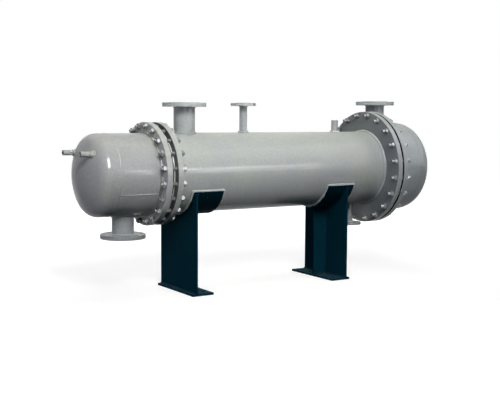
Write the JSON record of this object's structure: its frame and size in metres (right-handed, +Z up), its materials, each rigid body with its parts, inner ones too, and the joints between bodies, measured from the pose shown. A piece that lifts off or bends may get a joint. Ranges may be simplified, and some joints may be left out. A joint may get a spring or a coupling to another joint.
{
  "type": "shell and tube condenser",
  "caption": "Horizontal shell and tube condenser: a flanged cylindrical shell with a bolted dished channel, a larger bolted cover, flanged nozzles and plate saddles.",
  "frame": {"origin": "on the floor under both base plates, below the middle of the overall bounding box", "axes": "+X along the shell from the channel end to the cover end, +Y away from the side that the picture shows, +Z up"},
  "size_m": [2.2428, 0.6649, 1.033],
  "materials": {
    "painted_shell": "semi-gloss grey enamel",
    "gasket": "matt dark compressed fibre",
    "machined_steel": "turned, lightly tarnished",
    "tube_metal": "drawn, tarnished",
    "painted_saddle": "satin very dark green enamel"
  },
  "bodies": {
    "root": {"channel_head": "painted_shell", "channel_barrel": "painted_shell", "channel_flange": "painted_shell", "shell_front_flange": "painted_shell", "shell_barrel": "painted_shell", "shell_rear_flange": "painted_shell", "cover_flange": "painted_shell", "cover_barrel": "painted_shell", "cover_head": "painted_shell", "inlet_neck": "painted_shell", "inlet_flange": "painted_shell", "vent_neck": "painted_shell", "vent_flange": "painted_shell", "shell_coupling": "painted_shell", "drain_neck": "painted_shell", "drain_flange": "painted_shell", "channel_nozzle_neck": "painted_shell", "channel_nozzle_flange": "painted_shell", "cover_nozzle_neck": "painted_shell", "cover_nozzle_flange": "painted_shell", "head_stub_near": "painted_shell", "head_stub_far": "painted_shell", "channel_gasket": "gasket", "shell_gasket": "gasket", "cover_gasket": "gasket", "front_tubesheet": "machined_steel", "floating_tubesheet": "machined_steel", "floating_head": "machined_steel", "tube_bundle": "tube_metal", "front_saddle_base": "painted_saddle", "front_saddle_web": "painted_saddle", "front_saddle_rib": "painted_saddle", "front_saddle_pad": "painted_saddle", "rear_saddle_base": "painted_saddle", "rear_saddle_web": "painted_saddle", "rear_saddle_rib": "painted_saddle", "rear_saddle_pad": "painted_saddle"}
  },
  "joints": []
}
